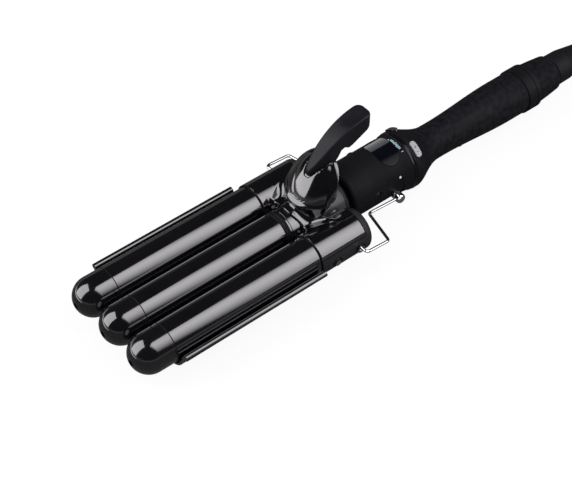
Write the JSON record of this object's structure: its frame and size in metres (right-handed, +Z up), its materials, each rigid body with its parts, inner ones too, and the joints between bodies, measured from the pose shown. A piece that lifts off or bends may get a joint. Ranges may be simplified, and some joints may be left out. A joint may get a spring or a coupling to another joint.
{
  "type": "hair waver",
  "caption": "Hair waver with heated barrels on a hinged jaw, side troughs, thumb lever, wire stand, oval buttons and a swivelling cord gland.",
  "frame": {"origin": "centre of the bounding box in plan, at the height of the flat underside of the plate below the neck", "axes": "+X from the barrel tips to the cord end, +Y across the barrels, +Z up through the thumb lever"},
  "size_m": [0.3862, 0.0958, 0.08],
  "materials": {
    "barrel_coating": "glossy black ceramic coating",
    "cap_gloss": "glossy black heat resistant plastic",
    "cover_gloss": "high gloss black plastic",
    "wing_coating": "satin black coated sheet",
    "heater_ceramic": "matte ceramic",
    "clamp_aluminium": "plain extruded aluminium",
    "neck_satin": "satin grey black plastic",
    "sleeve_matte": "fine matte dark grey plastic",
    "soft_touch": "soft touch matte black",
    "grip_soft": "soft touch matte blue black",
    "band_matte": "fine ribbed matte black",
    "lever_satin": "satin dark grey plastic",
    "hinge_steel": "plain steel",
    "screw_steel": "bright zinc plated steel",
    "spring_steel": "bright spring wire",
    "stand_chrome": "polished chrome",
    "window_dark": "glossy tinted window",
    "display_black": "display glass and frame",
    "board_green": "solder masked circuit board",
    "carrier_cream": "cream moulded plastic",
    "switch_black": "black moulded plastic",
    "lens_white": "milky light guide",
    "key_silver": "silver painted plastic",
    "lead_red": "silicone insulation",
    "lead_blue": "silicone insulation",
    "gland_rubber": "moulded flexible black"
  },
  "bodies": {
    "handle": {"middle_barrel": "barrel_coating", "middle_tip_cap": "cap_gloss", "middle_heater": "heater_ceramic", "middle_heater_clamp": "clamp_aluminium", "middle_sleeve": "cover_gloss", "neck": "neck_satin", "neck_ring": "neck_satin", "hinge_block": "hinge_steel", "hinge_screws": "screw_steel", "torsion_spring": "spring_steel", "lower_yoke": "wing_coating", "yoke_screws": "screw_steel", "left_wing": "wing_coating", "right_wing": "wing_coating", "wing_screws": "screw_steel", "body_upper": "soft_touch", "body_lower": "soft_touch", "body_screws": "switch_black", "display_window": "window_dark", "display_module": "display_black", "control_board": "board_green", "button_carrier": "carrier_cream", "button_switches": "switch_black", "status_lens": "lens_white", "stand_bushes": "stand_chrome", "heater_leads": "lead_red", "mains_leads": "lead_blue", "handle_upper": "grip_soft", "handle_lower": "grip_soft", "handle_screws": "screw_steel", "grip_band": "band_matte", "tail_cap": "grip_soft"},
    "upper_jaw": {"jaw_cover": "cover_gloss", "thumb_lever": "lever_satin", "lever_screw": "screw_steel", "jaw_frame": "hinge_steel", "frame_screws": "screw_steel", "hinge_pin": "hinge_steel", "left_barrel": "barrel_coating", "right_barrel": "barrel_coating", "left_tip_cap": "cap_gloss", "right_tip_cap": "cap_gloss", "left_heater": "heater_ceramic", "right_heater": "heater_ceramic", "left_heater_clamp": "clamp_aluminium", "right_heater_clamp": "clamp_aluminium", "left_sleeve_base": "sleeve_matte", "right_sleeve_base": "sleeve_matte", "sleeve_screws": "screw_steel"},
    "stand": {"stand_wire": "stand_chrome", "stand_caps": "stand_chrome"},
    "temperature_key": {"temperature_button": "key_silver"},
    "power_key": {"power_button": "key_silver"},
    "cord_swivel": {"cord_gland": "gland_rubber"}
  },
  "joints": [
    {"name": "jaw_hinge", "type": "hinge", "parent": "handle", "child": "upper_jaw", "pos_m": [-0.03523, 0, 0.0355], "axis": [0, 1, 0], "range_deg": [0, 28], "stiffness_Nm_per_rad": 0.8, "springref_deg": -22.92, "deforming": ["torsion_spring"]},
    {"name": "stand_hinge", "type": "hinge", "parent": "handle", "child": "stand", "pos_m": [0.01027, 0, 0.0164], "axis": [0, -1, 0], "range_deg": [0, 100]},
    {"name": "temperature_press", "type": "slide", "parent": "handle", "child": "temperature_key", "axis": [0, 0.5736, -0.8192], "range_m": [0, 0.0008], "stiffness_N_per_m": 600, "springref_m": -0.001},
    {"name": "power_press", "type": "slide", "parent": "handle", "child": "power_key", "axis": [0, -0.5736, -0.8192], "range_m": [0, 0.0008], "stiffness_N_per_m": 600, "springref_m": -0.001},
    {"name": "cord_turn", "type": "hinge", "parent": "handle", "child": "cord_swivel", "pos_m": [0.16107, 0, 0.0195], "axis": [1, 0, 0], "continuous": true}
  ]
}
